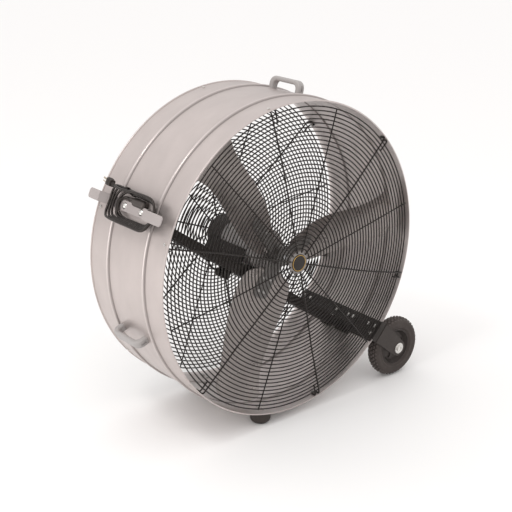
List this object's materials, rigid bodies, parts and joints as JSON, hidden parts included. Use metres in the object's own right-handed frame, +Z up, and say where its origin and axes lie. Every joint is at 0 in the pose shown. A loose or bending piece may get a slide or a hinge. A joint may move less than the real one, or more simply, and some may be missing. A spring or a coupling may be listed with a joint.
{
  "type": "drum fan",
  "caption": "Wheeled drum fan with a galvanised drum, black wire grilles, direct-drive propeller, carry handles, rubber feet and a wrapped power cord.",
  "frame": {"origin": "centre of the bounding box on the floor, without the power cord", "axes": "+Z up, -Y is the front where the air leaves, +X towards the wheels' side"},
  "size_m": [1.3131, 0.497, 1.2795],
  "materials": {
    "galvanised_sheet": "satin galvanised sheet",
    "black_wire": "gloss black coated wire",
    "black_frame_paint": "semi-gloss black paint",
    "motor_paint": "satin grey enamel",
    "motor_base_paint": "satin dark grey enamel",
    "stator_steel": "laminated steel with copper windings",
    "bearing_steel": "ground steel",
    "zinc_fastener": "bright zinc plate",
    "hub_metal": "grey steel",
    "blade_aluminium": "satin sheet",
    "rivet_aluminium": "satin",
    "black_enamel": "gloss black with a plain gold ring",
    "tyre_rubber": "knobbed tread, smooth wall",
    "rim_paint": "black paint",
    "capacitor_can": "plain can",
    "black_rubber": "matt rubber",
    "grey_plastic": "moulded grey plastic",
    "grey_steel_paint": "light grey paint",
    "dark_plastic": "dark moulded plastic",
    "cord_rubber": "black cord jacket",
    "black_strap": "woven strap",
    "plug_rubber": "moulded plug",
    "brass_prong": "plated blades"
  },
  "bodies": {
    "frame": {"drum_housing": "galvanised_sheet", "front_grille": "black_wire", "rear_grille": "black_wire", "grille_clips": "black_frame_paint", "grille_screws": "zinc_fastener", "centre_badge": "black_enamel", "wheel_side_plate": "black_frame_paint", "wrap_side_plate": "black_frame_paint", "front_strut": "black_frame_paint", "rear_strut": "black_frame_paint", "frame_bolts": "zinc_fastener", "frame_nuts": "zinc_fastener", "motor_shell": "motor_paint", "motor_front_bell": "motor_paint", "motor_rear_bell": "motor_paint", "motor_bearings": "bearing_steel", "motor_stator": "stator_steel", "motor_through_bolts": "zinc_fastener", "motor_base": "motor_base_paint", "motor_isolators": "black_rubber", "motor_rear_cover": "motor_base_paint", "terminal_box": "motor_base_paint", "motor_lead": "cord_rubber", "front_wheel_bracket": "black_frame_paint", "rear_wheel_bracket": "black_frame_paint", "wheel_bracket_spacers": "black_frame_paint", "axle_bolts": "zinc_fastener", "axle_nuts": "zinc_fastener", "rubber_feet": "black_rubber", "run_capacitor": "capacitor_can", "top_handle": "grey_plastic", "side_handle": "grey_plastic", "pan_head_screws": "zinc_fastener", "cord_wrap_bracket": "grey_steel_paint", "cord_wrap_spacers": "black_rubber", "cord_wrap_bolts": "zinc_fastener", "cord_gland": "dark_plastic", "cord_lead": "cord_rubber", "cord_hank": "cord_rubber", "cord_tie": "black_strap", "cord_tail": "cord_rubber", "plug_body": "plug_rubber", "plug_prongs": "brass_prong", "switch_box": "grey_plastic", "switch_body": "dark_plastic"},
    "propeller": {"motor_shaft": "bearing_steel", "motor_rotor": "stator_steel", "fan_hub": "hub_metal", "hub_set_screw": "zinc_fastener", "fan_blade_1": "blade_aluminium", "fan_blade_2": "blade_aluminium", "fan_blade_3": "blade_aluminium", "blade_rivets": "rivet_aluminium"},
    "front_wheel": {"front_tyre": "tyre_rubber", "front_wheel_rim": "rim_paint", "front_wheel_bearing": "bearing_steel"},
    "rear_wheel": {"rear_tyre": "tyre_rubber", "rear_wheel_rim": "rim_paint", "rear_wheel_bearing": "bearing_steel"},
    "switch_knob": {"switch_knob": "dark_plastic"}
  },
  "joints": [
    {"name": "propeller_spin", "type": "hinge", "parent": "frame", "child": "propeller", "pos_m": [-0.04195, -0.12, 0.6445], "axis": [0, 1, 0], "continuous": true},
    {"name": "front_wheel_spin", "type": "hinge", "parent": "frame", "child": "front_wheel", "pos_m": [0.52955, -0.2, 0.127], "axis": [0, 1, 0], "continuous": true},
    {"name": "rear_wheel_spin", "type": "hinge", "parent": "frame", "child": "rear_wheel", "pos_m": [0.52955, 0.2, 0.127], "axis": [0, 1, 0], "continuous": true},
    {"name": "switch_turn", "type": "hinge", "parent": "frame", "child": "switch_knob", "pos_m": [0.52137, 0.054, 0.94402], "axis": [0.8829, 0, 0.4695], "range_deg": [0, 120]}
  ]
}
